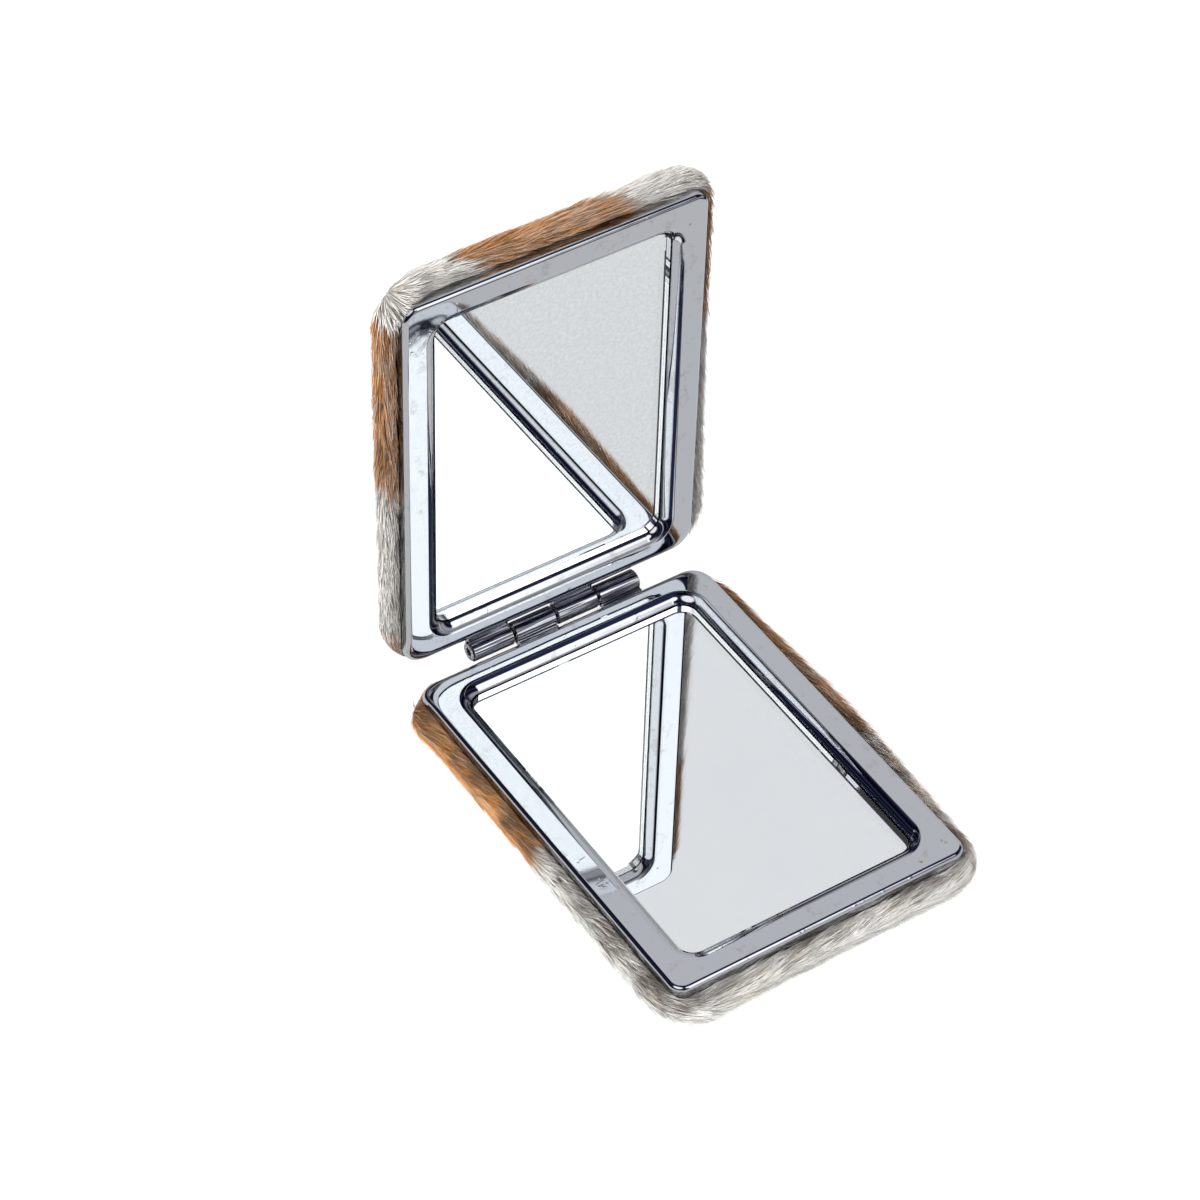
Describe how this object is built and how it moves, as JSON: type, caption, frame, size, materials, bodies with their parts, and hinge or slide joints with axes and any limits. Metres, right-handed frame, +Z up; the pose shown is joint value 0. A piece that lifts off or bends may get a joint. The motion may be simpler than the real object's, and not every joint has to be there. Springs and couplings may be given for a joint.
{
  "type": "mirror case",
  "caption": "Rectangular pocket mirror case that opens like a book: chromed metal rims on a knuckle hinge, a glass in each half, padded hair-on hide backs.",
  "frame": {"origin": "centre of the object's box on the surface it rests on, with the lid upright", "axes": "+Z up, +X along the hinge, -Y towards the front edge of the base; X is the shortest extent"},
  "size_m": [0.0666, 0.0984, 0.0979],
  "materials": {
    "chromed_metal": "polished",
    "mirror_glass": "polished",
    "tape": "matte",
    "magnet": "satin",
    "millboard": "matte",
    "foam": "matte",
    "hair_hide": "matte",
    "steel_pin": "satin"
  },
  "bodies": {
    "base": {"base_frame": "chromed_metal", "base_mirror": "mirror_glass", "base_mirror_tape": "tape", "base_magnet_left": "magnet", "base_magnet_right": "magnet", "base_cover_tape": "tape", "base_board": "millboard", "base_foam": "foam", "base_cover": "hair_hide", "hinge_pin": "steel_pin"},
    "lid": {"lid_frame": "chromed_metal", "lid_mirror": "mirror_glass", "lid_mirror_tape": "tape", "lid_magnet_left": "magnet", "lid_magnet_right": "magnet", "lid_cover_tape": "tape", "lid_board": "millboard", "lid_foam": "foam", "lid_cover": "hair_hide"}
  },
  "joints": [
    {"name": "lid_hinge", "type": "hinge", "parent": "base", "child": "lid", "pos_m": [0, 0.04038, 0.0083], "axis": [1, 0, 0], "range_deg": [-90, 90]}
  ]
}
